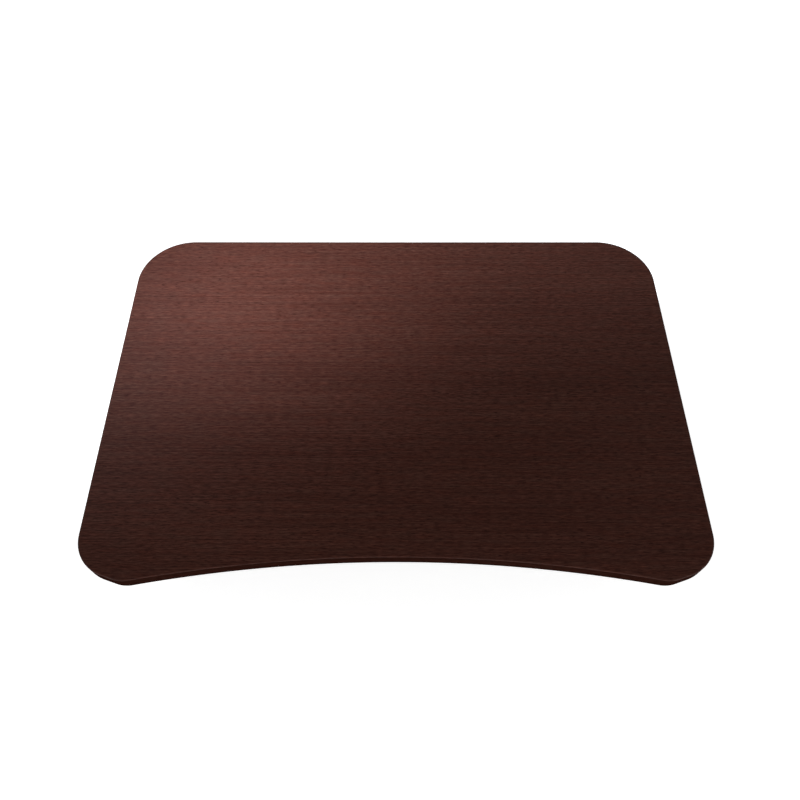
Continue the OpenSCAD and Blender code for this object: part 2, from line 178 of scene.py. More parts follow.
def rounded(corners, radii, steps=8):
    """A polygon whose corners are rounded, each with its own radius."""
    count = len(corners)
    sizes = radii if isinstance(radii, (list, tuple)) else [radii] * count
    outline = []
    for i, radius in enumerate(sizes):
        here = np.array(corners[i], float)
        back = np.array(corners[i - 1], float) - here
        ahead = np.array(corners[(i + 1) % count], float) - here
        back /= np.linalg.norm(back)
        ahead /= np.linalg.norm(ahead)
        half = math.acos(max(-1.0, min(1.0, float(back @ ahead)))) / 2
        bisector = (back + ahead) / np.linalg.norm(back + ahead)
        centre = here + bisector * radius / math.sin(half)
        start = here + back * radius / math.tan(half) - centre
        end = here + ahead * radius / math.tan(half) - centre
        a0 = math.atan2(start[1], start[0])
        turn = (math.atan2(end[1], end[0]) - a0 + math.pi) % (2 * math.pi) - math.pi
        for k in range(steps + 1):
            a = a0 + turn * k / steps
            outline.append((centre[0] + radius * math.cos(a), centre[1] + radius * math.sin(a)))
    return outline


def box_outline(u0, v0, u1, v1, radius):
    return rounded([(u0, v0), (u1, v0), (u1, v1), (u0, v1)], radius)


def bar_outline(a, b, radius, steps=20):
    """A flat bar between two points, with round ends."""
    heading = math.atan2(b[1] - a[1], b[0] - a[0])
    outline = []
    for centre, start in ((b, heading - math.pi / 2), (a, heading + math.pi / 2)):
        for k in range(steps + 1):
            t = start + math.pi * k / steps
            outline.append((centre[0] + radius * math.cos(t), centre[1] + radius * math.sin(t)))
    return outline


def clip_outline(u, v, inner, outer, gap=0.6, count=40):
    """A retaining ring with a gap at the bottom; gap is in radians."""
    start = -math.pi / 2 + gap
    sweep_angle = 2 * math.pi - 2 * gap
    steps = [start + sweep_angle * i / count for i in range(count + 1)]
    outside = [(u + outer * math.cos(a), v + outer * math.sin(a)) for a in steps]
    inside = [(u + inner * math.cos(a), v + inner * math.sin(a)) for a in reversed(steps)]
    return outside + inside


def counterclockwise(outline):
    area = sum(a[0] * b[1] - b[0] * a[1] for a, b in zip(outline, outline[1:] + outline[:1]))
    return list(outline) if area > 0 else list(reversed(outline))


def grow(outline, amount):
    """Moves each point of a counterclockwise outline outward, square to its two edges."""
    points = np.array(outline, float)
    edge = np.roll(points, -1, axis=0) - points
    edge /= np.maximum(np.linalg.norm(edge, axis=1), 1e-9)[:, None]
    after = np.stack([edge[:, 1], -edge[:, 0]], axis=1)
    before = np.roll(after, 1, axis=0)
    way = before + after
    way /= np.maximum(np.linalg.norm(way, axis=1), 1e-9)[:, None]
    reach = amount / np.maximum((way * after).sum(axis=1), 0.5)
    return [tuple(p) for p in points + way * reach[:, None]]


def soft_edges(start, end, radius, steps=3):
    """(growth, height) levels of an extrusion whose two rims are rounded inward."""
    quarter = [math.pi / 2 * k / steps for k in range(steps + 1)]
    first = [(-radius * (1 - math.sin(t)), start + radius * (1 - math.cos(t))) for t in quarter]
    last = [(g, start + end - h) for g, h in reversed(first)]
    return first + last


def hole(u, v, radius, start, end, rim):
    """A round hole for plate(), with its rims broken."""
    return circle(u, v, radius), [(rim, start), (0.0, start + rim), (0.0, end - rim), (rim, end)]


def screw_hole(u, v, start, end):
    """A hole for plate() that is countersunk from its lower side."""
    radius = SCREW_R + SCREW_PLAY
    return circle(u, v, radius), [(HEAD_R - SCREW_R, start), (0.0, start + HEAD_H), (0.0, end)]


def sleeve(start, end, bore, outer, chamfer):
    """A (height, radius) profile for lathe() of a tube whose outer rims are chamfered."""
    return [
        (start, bore), (start, outer - chamfer), (start + chamfer, outer),
        (end - chamfer, outer), (end, outer - chamfer), (end, bore),
    ]


# ---------------------------------------------------------------- solids


class Solid:
    """Collects vertices and faces in millimetres, and turns them into one object."""

    def __init__(self, side=1.0):
        self.side = side
        self.points = []
        self.faces = []
        self.uvs = []

    def add(self, points, faces, uvs=None):
        first = len(self.points)
        self.points.extend((self.side * float(x), float(y), float(z)) for x, y, z in points)
        self.faces.extend(tuple(first + i for i in face) for face in faces)
        self.uvs.extend(uvs if uvs is not None else [(0.0, 0.0)] * len(points))

    def loft(self, rings, cap_start=True, cap_end=True, uvs=None):
        """Joins closed rings that have the same number of points, and closes the ends."""
        count = len(rings[0])
        faces = []
        for r in range(len(rings) - 1):
            for i in range(count):
                j = (i + 1) % count
                faces.append((r * count + i, r * count + j, (r + 1) * count + j, (r + 1) * count + i))
        if cap_start:
            faces.append(tuple(range(count)))
        if cap_end:
            faces.append(tuple((len(rings) - 1) * count + i for i in range(count)))
        self.add([p for ring in rings for p in ring], faces, uvs)

    def plate(self, axis, outline, levels, holes=()):
        """Extrudes an outline along an axis (0, 1 or 2) through (growth, height) levels, with holes.

        The outline's (u, v) is (y, z), (x, z) or (x, y) for the three axes.
        """

        def spot(point, height):
            place = [point[0], point[1]]
            place.insert(axis, height)
            return tuple(place)

        shapes = [(counterclockwise(outline), levels)]
        shapes += [(counterclockwise(loop), steps) for loop, steps in holes]
        ends = ([], [])
        for loop, steps in shapes:
            first = len(self.points)
            rings = [[spot(p, h) for p in grow(loop, g)] for g, h in steps]
            self.loft(rings, cap_start=False, cap_end=False)
            last = first + (len(rings) - 1) * len(loop)
            ends[0].append((first, rings[0]))
            ends[1].append((last, rings[-1]))
        for loops in ends:
            numbers = [start + i for start, ring in loops for i in range(len(ring))]
            for triangle in tessellate_polygon([ring for start, ring in loops]):
                self.faces.append(tuple(numbers[i] for i in triangle))

    def slab(self, x, thickness, outline, edge, bores=(), rim=0.3):
        """A flat part square to X with softened edges; bores are (y, z, radius), with their rims broken."""
        holes = [hole(y, z, radius, x, x + thickness, rim) for y, z, radius in bores]
        self.plate(0, outline, soft_edges(x, x + thickness, edge), holes)

    def lathe(self, axis, at, profile, count=48):
        """Turns a closed (height, radius) profile around an axis (0 or 2) through the point at."""
        rings = []
        for height, radius in profile + profile[:1]:
            around = circle(at[0], at[1], radius, count)
            rings.append([(height, u, v) if axis == 0 else (u, v, height) for u, v in around])
        self.loft(rings, cap_start=False, cap_end=False)

    def rod(self, x0, x1, y, z, radius, chamfer=0.6, count=48):
        """A shaft along X with chamfered ends."""
        stations = [
            (x0, radius - chamfer), (x0 + chamfer, radius),
            (x1 - chamfer, radius), (x1, radius - chamfer),
        ]
        self.loft([[(x, u, v) for u, v in circle(y, z, r, count)] for x, r in stations])

    def hexagon(self, near, far, y, z, corner, bore=0.0, count=72):
        """A hexagon head, or a nut where there is a bore, along X, with its far face chamfered round."""
        flat = corner * math.cos(math.pi / 6)
        way = 1.0 if far > near else -1.0
        angles = turns(count)
        reach = [flat / math.cos((a + math.pi / 6) % (math.pi / 3) - math.pi / 6) for a in angles]
        slope = math.tan(math.radians(28))
        rim = 0.2
        lip = 0.4

        def ring(xs, radii):
            return [(x, y + r * math.cos(a), z + r * math.sin(a)) for x, r, a in zip(xs, radii, angles)]

        turned = flat * 0.96
        rings = [
            ring([near] * count, [r - rim for r in reach]),
            ring([near + way * rim] * count, reach),
            ring([far - way * (r - turned) * slope for r in reach], reach),
            ring([far] * count, [turned] * count),
        ]
        if bore:
            rings += [
                ring([far] * count, [bore + lip] * count),
                ring([far - way * lip] * count, [bore] * count),
                ring([near] * count, [bore] * count),
            ]
            rings.append(rings[0])
        self.loft(rings, cap_start=not bore, cap_end=not bore)

    def screw(self, x, y, z, length, count=36):
        """A countersunk screw that points up: a dished head with a hexagon socket, and a threaded shank."""
        angles = turns(count)
        across = HEAD_R * 0.40
        pitch = 0.8

        def socket(depth, size):
            radii = [across * size / math.cos(a % (math.pi / 3) - math.pi / 6) for a in angles]
            return [(x + r * math.cos(a), y + r * math.sin(a), z + depth) for r, a in zip(radii, angles)]

        def ring(height, radius):
            return [(u, v, z + height) for u, v in circle(x, y, radius, count)]

        rings = [socket(1.6, 0.97), socket(0.2, 0.97), socket(0.04, 1.08)]
        rings += [ring(0.04, HEAD_R - 0.6), ring(0.12, HEAD_R - 0.2), ring(0.4, HEAD_R - 0.25)]
        rings.append(ring(HEAD_H, SCREW_R))
        for i in range(int((length - HEAD_H - pitch) / pitch)):
            start = HEAD_H + 0.3 + i * pitch
            rings += [ring(start, SCREW_R - 0.05), ring(start + pitch / 2, SCREW_R - 0.4)]
        rings.append(ring(length, SCREW_R - 0.6))
        self.loft(rings)

    def wire(self, path, radius, sides=14):
        """A round wire along points, with its ends turned down a little."""
        points = np.array(path, float)
        ahead = np.gradient(points, axis=0)
        ahead /= np.linalg.norm(ahead, axis=1)[:, None]
        side = np.cross(ahead[0], (0.3, 0.4, 0.85))
        rings = []
        last = len(points) - 1
        for i, (spot, way) in enumerate(zip(points, ahead)):
            side = side - way * float(side @ way)
            side /= np.linalg.norm(side)
            up = np.cross(way, side)
            size = radius * 0.75 if i in (0, last) else radius
            rings.append([spot + size * (math.cos(a) * side + math.sin(a) * up) for a in turns(sides)])
        self.loft(rings)

    def ball_row(self, centres, radius, rise, around=14, levels=5):
        """Low domes that stand on z, one at each (x, y, z) centre."""
        for x, y, z in centres:
            rings = []
            for k in range(levels):
                a = math.pi / 2 * k / levels
                level = circle(x, y, radius * math.cos(a), around)
                rings.append([(u, v, z + rise * math.sin(a)) for u, v in level])
            self.loft(rings)

    def mesh(self, name):
        mesh = bpy.data.meshes.new(name)
        mesh.from_pydata([(x * MM, y * MM, z * MM) for x, y, z in self.points], [], self.faces)
        shape = bmesh.new()
        shape.from_mesh(mesh)
        bmesh.ops.recalc_face_normals(shape, faces=shape.faces)
        shape.to_mesh(mesh)
        shape.free()
        return mesh

    def piece(self, name, body, nodes, slot, angle=35.0, finish=None):
        """Makes the object: it rides on a body, stands for CAD nodes and takes the finish of a record slot.

        finish names another material, where the slot's own one runs the wrong way.
        """
        mesh = self.mesh(name)
        mesh.materials.append(MATERIALS[finish or slot])
        mesh.polygons.foreach_set("use_smooth", [True] * len(mesh.polygons))
        mesh.set_sharp_from_angle(angle=math.radians(angle))
        thing = bpy.data.objects.new(name, mesh)
        bpy.context.scene.collection.objects.link(thing)
        even = thing.modifiers.new("even_normals", "WEIGHTED_NORMAL")
        even.keep_sharp = True
        if body:
            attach(thing, body)
        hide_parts(*nodes)
        return thing


def cut(thing, cutter):
    """Takes the cutter solid out of a piece."""
    tool = bpy.data.objects.new("cutter", cutter.mesh("cutter"))
    bpy.context.scene.collection.objects.link(tool)
    boolean = thing.modifiers.new("cut", "BOOLEAN")
    boolean.operation = "DIFFERENCE"
    boolean.solver = "EXACT"
    boolean.object = tool
    even = thing.modifiers["even_normals"]
    even.show_viewport = False
    result = bpy.data.meshes.new_from_object(thing.evaluated_get(bpy.context.evaluated_depsgraph_get()))
    result.polygons.foreach_set("use_smooth", [True] * len(result.polygons))
    result.set_sharp_from_angle(angle=math.radians(35.0))
    thing.modifiers.remove(boolean)
    even.show_viewport = True
    old = thing.data
    thing.data = result
    bpy.data.meshes.remove(old)
    bpy.data.objects.remove(tool)


# ---------------------------------------------------------------- materials

# The wood's tones by noise value, dark to light, and the colour of its pores
WOOD_TONES = (
    (0.30, (0.0488, 0.0154, 0.0105)),
    (0.52, (0.0549, 0.0180, 0.0123)),
    (0.72, (0.0598, 0.0202, 0.0139)),
)
WOOD_PORE = (0.0200, 0.0045, 0.0030)

# Grain layers: cycles per metre along and across the grain, then noise detail, roughness and distortion
GRAIN = {
    "broad": ((1.3, 17.0), 3.0, 0.5, 0.3),
    "dashes": ((95.0, 760.0), 3.0, 0.65, 0.1),
    "lines": ((4.0, 520.0), 2.0, 0.6, 0.15),
    "drift": ((28.0, 170.0), 3.0, 0.6, 0.2),
    "pores": ((120.0, 900.0), 1.0, 0.5, 0.0),
    "clusters": ((6.0, 60.0), 2.0, 0.5, 0.0),
}

# What three of the layers multiply the tone by, by noise value
UNCHANGED = (1.0, 1.0, 1.0)
GRAIN_TINTS = {
    "dashes": ((0.30, (0.48, 0.38, 0.36)), (0.50, UNCHANGED), (0.70, (1.48, 1.60, 1.64))),
    "lines": ((0.30, (0.77, 0.70, 0.68)), (0.50, UNCHANGED), (0.70, (1.22, 1.28, 1.30))),
    "drift": ((0.32, (1.04, 0.93, 0.89)), (0.50, UNCHANGED), (0.68, (0.96, 1.07, 1.09))),
}

# Zinc plating: its colour, its roughness, and how its cloudy parts tint the colour
ZINC = (0.60, 0.62, 0.64)
ZINC_ROUGHNESS = 0.30
ZINC_CLOUD = (0.93, 0.90, 0.82)


class Shader:
    """A small wrapper for building one node material."""

    def __init__(self, name, color, roughness, metallic=0.0, specular=0.5):
        self.material = bpy.data.materials.new(name)
        self.material.use_nodes = True
        self.tree = self.material.node_tree
        self.bsdf = self.tree.nodes["Principled BSDF"]
        self.bsdf.inputs["Base Color"].default_value = (*color, 1.0)
        self.bsdf.inputs["Roughness"].default_value = roughness
        self.bsdf.inputs["Metallic"].default_value = metallic
        self.bsdf.inputs["Specular IOR Level"].default_value = specular
        self.material.diffuse_color = (*color, 1.0)

    def node(self, kind, **values):
        made = self.tree.nodes.new(kind)
        for key, value in values.items():
            setattr(made, key, value)
        return made

    def link(self, source, target):
        self.tree.links.new(source, target)

    def coordinates(self, scale=(1.0, 1.0, 1.0), uv=False):
        """Object or UV coordinates, stretched by a scale per axis."""
        source = self.node("ShaderNodeTexCoord").outputs["UV" if uv else "Object"]
        mapping = self.node("ShaderNodeMapping")
        mapping.inputs["Scale"].default_value = scale
        self.link(source, mapping.inputs["Vector"])
        return mapping.outputs["Vector"]

    def noise(self, vector, scale, detail=3.0, roughness=0.55, distortion=0.0):
        made = self.node("ShaderNodeTexNoise")
        made.inputs["Scale"].default_value = scale
        made.inputs["Detail"].default_value = detail
        made.inputs["Roughness"].default_value = roughness
        made.inputs["Distortion"].default_value = distortion
        self.link(vector, made.inputs["Vector"])
        return made.outputs["Fac"]

    def ramp(self, value, stops):
        """A colour ramp; stops are (place, (r, g, b)) or (place, grey)."""
        made = self.node("ShaderNodeValToRGB")
        elements = made.color_ramp.elements
        while len(elements) < len(stops):
            elements.new(0.5)
        for element, (spot, color) in zip(elements, stops):
            element.position = spot
            rgb = color if isinstance(color, tuple) else (color, color, color)
            element.color = (*rgb, 1.0)
        self.link(value, made.inputs["Fac"])
        return made.outputs["Color"]

    def mix(self, factor, a, b, mode="MIX"):
        made = self.node("ShaderNodeMix", data_type="RGBA", blend_type=mode)
        for value, socket in ((factor, made.inputs[0]), (a, made.inputs[6]), (b, made.inputs[7])):
            if isinstance(value, (int, float)):
                socket.default_value = value
            elif isinstance(value, tuple):
                socket.default_value = (*value, 1.0)
            else:
                self.link(value, socket)
        return made.outputs[2]

    def math(self, operation, a, b):
        made = self.node("ShaderNodeMath", operation=operation)
        for value, socket in ((a, made.inputs[0]), (b, made.inputs[1])):
            if isinstance(value, (int, float)):
                socket.default_value = value
            else:
                self.link(value, socket)
        return made.outputs[0]

    def bump(self, height, strength, distance):
        made = self.node("ShaderNodeBump")
        made.inputs["Strength"].default_value = strength
        made.inputs["Distance"].default_value = distance
        self.link(height, made.inputs["Height"])
        self.link(made.outputs["Normal"], self.bsdf.inputs["Normal"])

    def to(self, value, name):
        self.link(value, self.bsdf.inputs[name])


def wood_foil(name, shade, gloss):
    """Dark mahogany-look foil: fine dashes, faint lines, small pores and drifts of colour along the width."""
    # shade scales every colour of the foil; below 1 it is painted shade, as on the board's edge
    s = Shader(name, tuple(c * shade for c in WOOD_TONES[1][1]), 0.5, specular=gloss)
    grain = {}
    for layer, ((along, across), detail, roughness, distortion) in GRAIN.items():
        place = s.coordinates((along, across, 1.0), uv=True)
        grain[layer] = s.noise(place, 1.0, detail, roughness, distortion)
    color = s.ramp(grain["broad"], [(spot, tuple(c * shade for c in tone)) for spot, tone in WOOD_TONES])
    for layer, stops in GRAIN_TINTS.items():
        color = s.mix(1.0, color, s.ramp(grain[layer], stops), "MULTIPLY")
    spots = s.ramp(grain["pores"], [(0.60, 0.0), (0.70, 1.0)])
    where = s.ramp(grain["clusters"], [(0.36, 0.4), (0.58, 1.0)])
    holes = s.mix(1.0, spots, where, "MULTIPLY")
    color = s.mix(holes, color, tuple(c * shade for c in WOOD_PORE))
    s.to(color, "Base Color")
    s.to(s.ramp(grain["dashes"], [(0.3, 0.56), (0.7, 0.46)]), "Roughness")
    raised = s.math("MULTIPLY", grain["dashes"], 0.35)
    height = s.math("SUBTRACT", raised, s.math("MULTIPLY", holes, 0.6))
    s.bump(height, 0.35, 0.00012)
    return s.material


def board_foil():
    """Dark balancing foil on the underside, with a faint pressed texture."""
    s = Shader("backer_foil", (0.030, 0.021, 0.017), 0.62, specular=0.3)
    grain = s.noise(s.coordinates((40.0, 600.0, 40.0)), 1.0, 4.0)
    s.to(s.ramp(grain, [(0.3, (0.0260, 0.0180, 0.0150)), (0.7, (0.0335, 0.0240, 0.0200))]), "Base Color")
    s.to(s.ramp(grain, [(0.3, 0.66), (0.7, 0.60)]), "Roughness")
    s.bump(s.noise(s.coordinates(), 1300.0, 3.0), 0.4, 0.0002)
    return s.material


def fibreboard():
    """Raw fibreboard, with short fibres."""
    s = Shader("fibreboard", (0.42, 0.28, 0.16), 0.85, specular=0.2)
    fibres = s.noise(s.coordinates(), 700.0, 5.0, 0.7, 0.5)
    s.to(s.ramp(fibres, [(0.3, (0.32, 0.20, 0.11)), (0.7, (0.50, 0.35, 0.21))]), "Base Color")
    s.bump(fibres, 0.4, 0.0002)
    return s.material


def powder_coat():
    """Fine-textured black powder coat."""
    s = Shader("powder_coat", (0.018, 0.018, 0.020), 0.48)
    peel = s.noise(s.coordinates(), 1400.0, 2.0, 0.5)
    cloud = s.noise(s.coordinates(), 22.0, 3.0)
    s.to(s.ramp(cloud, [(0.3, (0.0150, 0.0150, 0.0165)), (0.7, (0.0215, 0.0215, 0.0235))]), "Base Color")
    s.to(s.ramp(cloud, [(0.3, 0.52), (0.7, 0.42)]), "Roughness")
    s.bump(peel, 0.5, 0.00018)
    return s.material


def moulded_plastic():
    """Black moulded plastic with a spark-eroded texture."""
    s = Shader("moulded_plastic", (0.016, 0.016, 0.017), 0.5, specular=0.4)
    texture = s.noise(s.coordinates(), 2600.0, 1.0, 0.5)
    cloud = s.noise(s.coordinates(), 60.0, 2.0)
    s.to(s.ramp(cloud, [(0.3, (0.0135, 0.0135, 0.0145)), (0.7, (0.0190, 0.0190, 0.0200))]), "Base Color")
    s.to(s.ramp(cloud, [(0.3, 0.56), (0.7, 0.46)]), "Roughness")
    s.bump(texture, 0.5, 0.00012)
    return s.material


def metal(name, color, roughness, stretch, tint):
    """Bare or plated metal: drawn lines, in cycles per metre along X, Y and Z, and a faint cloudy tint."""
    s = Shader(name, color, roughness, metallic=1.0)
    lines = s.noise(s.coordinates(stretch), 1.0, 3.0, 0.6)
    cloud = s.noise(s.coordinates(), 45.0, 4.0, 0.6, 0.4)
    tinted = tuple(c * t for c, t in zip(color, tint))
    s.to(s.ramp(cloud, [(0.35, tinted), (0.65, color)]), "Base Color")
    s.to(s.ramp(lines, [(0.3, roughness - 0.07), (0.7, roughness + 0.09)]), "Roughness")
    s.bump(lines, 0.18, 0.00002)
    return s.material


def nylon():
    """Natural nylon: creamy, slightly see-through, with faint machining lines."""
    s = Shader("nylon", (0.80, 0.78, 0.71), 0.42)
    s.bsdf.inputs["Subsurface Weight"].default_value = 0.12
    s.bsdf.inputs["Subsurface Radius"].default_value = (0.004, 0.004, 0.003)
    cloud = s.noise(s.coordinates(), 70.0, 3.0)
    s.to(s.ramp(cloud, [(0.3, (0.74, 0.71, 0.63)), (0.7, (0.83, 0.81, 0.75))]), "Base Color")
    lines = s.noise(s.coordinates((3500.0, 60.0, 60.0)), 1.0, 2.0)
    s.to(s.ramp(lines, [(0.3, 0.38), (0.7, 0.50)]), "Roughness")
    s.bump(lines, 0.2, 0.00005)
    return s.material


def rubber():
    """Matt black rubber with a faint dusty bloom."""
    s = Shader("rubber", (0.022, 0.022, 0.022), 0.82, specular=0.3)
    dust = s.noise(s.coordinates(), 120.0, 5.0, 0.7)
    s.to(s.ramp(dust, [(0.35, (0.017, 0.017, 0.017)), (0.75, (0.034, 0.033, 0.032))]), "Base Color")
    s.to(s.ramp(dust, [(0.3, 0.78), (0.7, 0.9)]), "Roughness")
    s.bump(s.noise(s.coordinates(), 1600.0, 3.0), 0.4, 0.0002)
    return s.material


MATERIALS = {
    "wood_wrap": wood_foil("wood_foil", 1.0, 0.06),
    # The edge's copy of the wood foil, at 0.42 of its brightness and without gloss: painted shade on the
    # board's edge, which is the same foil as the top
    "edge_band": wood_foil("edge_foil_painted_shade", 0.42, 0.0),
    "core": fibreboard(),
    "backer": board_foil(),
    "black_steel": powder_coat(),
    "black_plastic": moulded_plastic(),
    "zinc": metal("zinc_plate", ZINC, ZINC_ROUGHNESS, (30.0, 2600.0, 2600.0), ZINC_CLOUD),
    "zinc_bar": metal("zinc_bar", ZINC, ZINC_ROUGHNESS, (2600.0, 30.0, 2600.0), ZINC_CLOUD),
    "spring_steel": metal("spring_wire", (0.34, 0.34, 0.35), 0.34, (700.0, 200.0, 200.0), (0.80, 0.76, 0.70)),
    "brass": metal("insert_brass", (0.72, 0.52, 0.22), 0.32, (400.0, 400.0, 60.0), (0.86, 0.82, 0.72)),
    "bronze": metal("sintered_bronze", (0.52, 0.33, 0.15), 0.45, (500.0, 500.0, 500.0), (0.80, 0.78, 0.74)),
    "nylon": nylon(),
    "rubber": rubber(),
}


def paint_cad_nodes():
    """Every CAD node takes its slot's material."""
    slots = {entry["node"]: entry["material_slot"] for entry in frame["record"]["subparts"]}
    for name, thing in frame["nodes"].items():
        for material_slot in thing.material_slots:
            material_slot.material = MATERIALS[slots[name]]


# ---------------------------------------------------------------- board


def board_outline(inset, step=math.radians(1.2), long_step=math.radians(0.3)):
    """(point, outward normal) pairs round the board, pulled in by inset, from the middle of its front."""
    width, depth = (high("wood_wrap") - low("wood_wrap"))[:2]
    wave_sum = FRONT_DIP / (1 - math.cos(WAVE_SLOPE))
    recess_r = wave_sum - LOBE_R
    lobe = (wave_sum * math.sin(WAVE_SLOPE), -depth / 2 + LOBE_R)
    side_x = width / 2 - SIDE_R
    reach = lobe[0] * math.sin(SLANT) - lobe[1] * math.cos(SLANT) + LOBE_R - SIDE_R
    side = (side_x, (side_x * math.sin(SLANT) - reach) / math.cos(SLANT))
    back = (width / 2 - BACK_R, depth / 2 - BACK_R)
    recess = (0.0, -depth / 2 + FRONT_DIP - recess_r)
    arcs = (
        (recess, recess_r + inset, math.pi, math.pi - WAVE_SLOPE, -1.0, long_step),
        (lobe, LOBE_R - inset, -WAVE_SLOPE, SLANT, 1.0, step),
        (side, SIDE_R - inset, SLANT, math.pi / 2, 1.0, step),
        (back, BACK_R - inset, math.pi / 2, math.pi, 1.0, step),
    )
    half = []
    for centre, radius, start, end, facing, size in arcs:
        steps = round(abs(end - start) / size)
        for i in range(steps + 1):
            a = start + (end - start) * i / steps
            if half and i == 0 and facing > 0 and centre is lobe:
                continue
            way = (facing * math.sin(a), -facing * math.cos(a))
            half.append(((centre[0] + radius * math.sin(a), centre[1] - radius * math.cos(a)), way))
    left = [((-p[0], p[1]), (-n[0], n[1])) for p, n in reversed(half[1:])]
    return half + left


def board_levels():
    """(inset, height, run of foil) rings from the rim of the flat top, down the edge to the underside."""
    top = high("wood_wrap")[2] - 0.001
    quarter = [math.radians(a) for a in (0, 15, 30, 45, 60, 75, 90)]
    levels = []
    for a in quarter:
        levels.append((TOP_ARRIS * (1 - math.sin(a)), top - TOP_ARRIS * (1 - math.cos(a)), TOP_ARRIS * a))
    edge_top, edge_end = levels[-1][1], BOARD_Z + LOW_ARRIS
    drop = levels[-1][2]
    for share in (0.25, 0.5, 0.75, 1.0):
        height = edge_top + (edge_end - edge_top) * share
        levels.append((0.0, height, drop + edge_top - height))
    drop = levels[-1][2]
    for a in quarter[2::2]:
        height = edge_end - LOW_ARRIS * math.sin(a)
        levels.append((LOW_ARRIS * (1 - math.cos(a)), height, drop + LOW_ARRIS * a))
    return levels


def board():
    """The wrapped board: the foil runs over a soft arris and down the edge without a seam; below the top
    arris it takes the darker copy of the foil, which is painted shade.
    """
    hair = 0.004
    rim = board_outline(TOP_ARRIS + hair)
    solid = Solid()
    levels = board_levels()
    rings = [[(p[0], p[1], z) for p, n in board_outline(inset + hair)] for inset, z, run in levels]
    uvs = [((p[0] + n[0] * run) * MM, (p[1] + n[1] * run) * MM) for inset, z, run in levels for p, n in rim]
    inner = board_outline(WRAP_T)
    ceiling = high("wood_wrap")[2] - WRAP_T
    for z in (BOARD_Z, ceiling):
        rings.append([(p[0], p[1], z) for p, n in inner])
        uvs += [(p[0] * MM, p[1] * MM) for p, n in inner]
    solid.loft(rings, uvs=uvs)
    thing = solid.piece("board_wrap", "desktop", ["wood_wrap"], "wood_wrap", angle=40.0)
    layer = thing.data.uv_layers.new(name="grain")
    for loop in thing.data.loops:
        layer.data[loop.index].uv = solid.uvs[loop.vertex_index]
    # The faces below the top arris take the darker copy of the foil: painted shade on the board's edge
    thing.data.materials.append(MATERIALS["edge_band"])
    last_arris_ring = 6
    edge_top = levels[last_arris_ring][1] * MM
    for face in thing.data.polygons:
        if face.center.z < edge_top:
            face.material_index = 1


# ---------------------------------------------------------------- rails, plates and feet


def rail_outline(z):
    """C-section in (x, z), open towards the middle, with bent corners."""
    inside_x, inside_h = RAIL_END_X - WEB_T, RAIL_HALF - FLANGE_T
    corners = [
        (RAIL_X, z - RAIL_HALF), (RAIL_END_X, z - RAIL_HALF),
        (RAIL_END_X, z + RAIL_HALF), (RAIL_X, z + RAIL_HALF),
        (RAIL_X, z + inside_h), (inside_x, z + inside_h),
        (inside_x, z - inside_h), (RAIL_X, z - inside_h),
    ]
    bend, inner_bend, lip = 2.8, 1.0, 0.5
    return rounded(corners, [lip, bend, bend, lip, lip, inner_bend, inner_bend, lip], steps=6)


def rails():
    """C-section rails; the top ones are countersunk for the screws that go up into the board."""
    for name, side in SIDES:
        for level, z, body in (("base", LOW_Z, "base"), ("top", HIGH_Z, "desktop")):
            solid = Solid(side)
            solid.plate(1, rail_outline(z), soft_edges(RAIL_FRONT, RAIL_REAR, 0.25, 1))
            thing = solid.piece(f"{level}_rail_{name}_formed", body, [f"{level}_rail_{name}"], "black_steel")
            if level == "top":
                drill = Solid(side)
                bottom = BOARD_Z - FLANGE_T
                wide, narrow = HEAD_R + SCREW_PLAY, SCREW_R + SCREW_PLAY
                cone = [
                    (bottom - 1, wide), (bottom, wide),
                    (bottom + HEAD_H, narrow), (BOARD_Z + 1, narrow),
                ]
                for y in RAIL_SCREW_Y:
                    drill.loft([[(u, v, h) for u, v in circle(RAIL_SCREW_X, y, r)] for h, r in cone])
                cut(thing, drill)


def end_caps():
    """Moulded covers with a pillowed face and a plug in the rail; the front plug stops the roller."""
    pillow = ((0.0, 0.0), (0.0, 1.0), (-0.35, 1.6), (-1.0, 1.9), (-2.4, 2.0))
    plug_half = 8.7
    stop = FRONT_Y - 9.0
    for level, z, body in (("base", LOW_Z, "base"), ("top", HIGH_Z, "desktop")):
        for name, side in SIDES:
            solid = Solid(side)
            face = box_outline(RAIL_X, z - RAIL_HALF, RAIL_END_X, z + RAIL_HALF, 2.8)
            for end, way in ((RAIL_FRONT, -1), (RAIL_REAR, 1)):
                solid.plate(1, face, [(growth, end + way * out) for growth, out in pillow])
            plug = box_outline(RAIL_X + 0.5, z - plug_half, RAIL_END_X - WEB_T - 0.3, z + plug_half, 1.2)
            solid.plate(1, plug, soft_edges(RAIL_FRONT - 0.5, stop, 0.6))
            solid.plate(1, plug, soft_edges(RAIL_REAR - 4, RAIL_REAR + 0.5, 0.6))
            solid.piece(f"{level}_cap_{name}", body, [f"{level}_end_caps"], "black_plastic")


def flat_plate(node, name, body, corner, edge, places):
    """A flat plate with the box of its CAD node, and a countersunk hole at each (x, y) of places."""
    (x0, y0, bottom), (x1, y1, top) = low(node), high(node)
    holes = [screw_hole(x, y, bottom, top) for x, y in places]
    solid = Solid()
    solid.plate(2, box_outline(x0, y0, x1, y1, corner), soft_edges(bottom, top, edge), holes)
    solid.piece(name, body, [node], "black_steel")


def base_plates():
    for name in ("front", "rear"):
        node = f"base_plate_{name}"
        places = [(side * FOOT_X, y) for label, side in SIDES for y in BASE_SCREW_Y[name]]
        flat_plate(node, f"{node}_cut", "base", 3.0, 0.5, places)


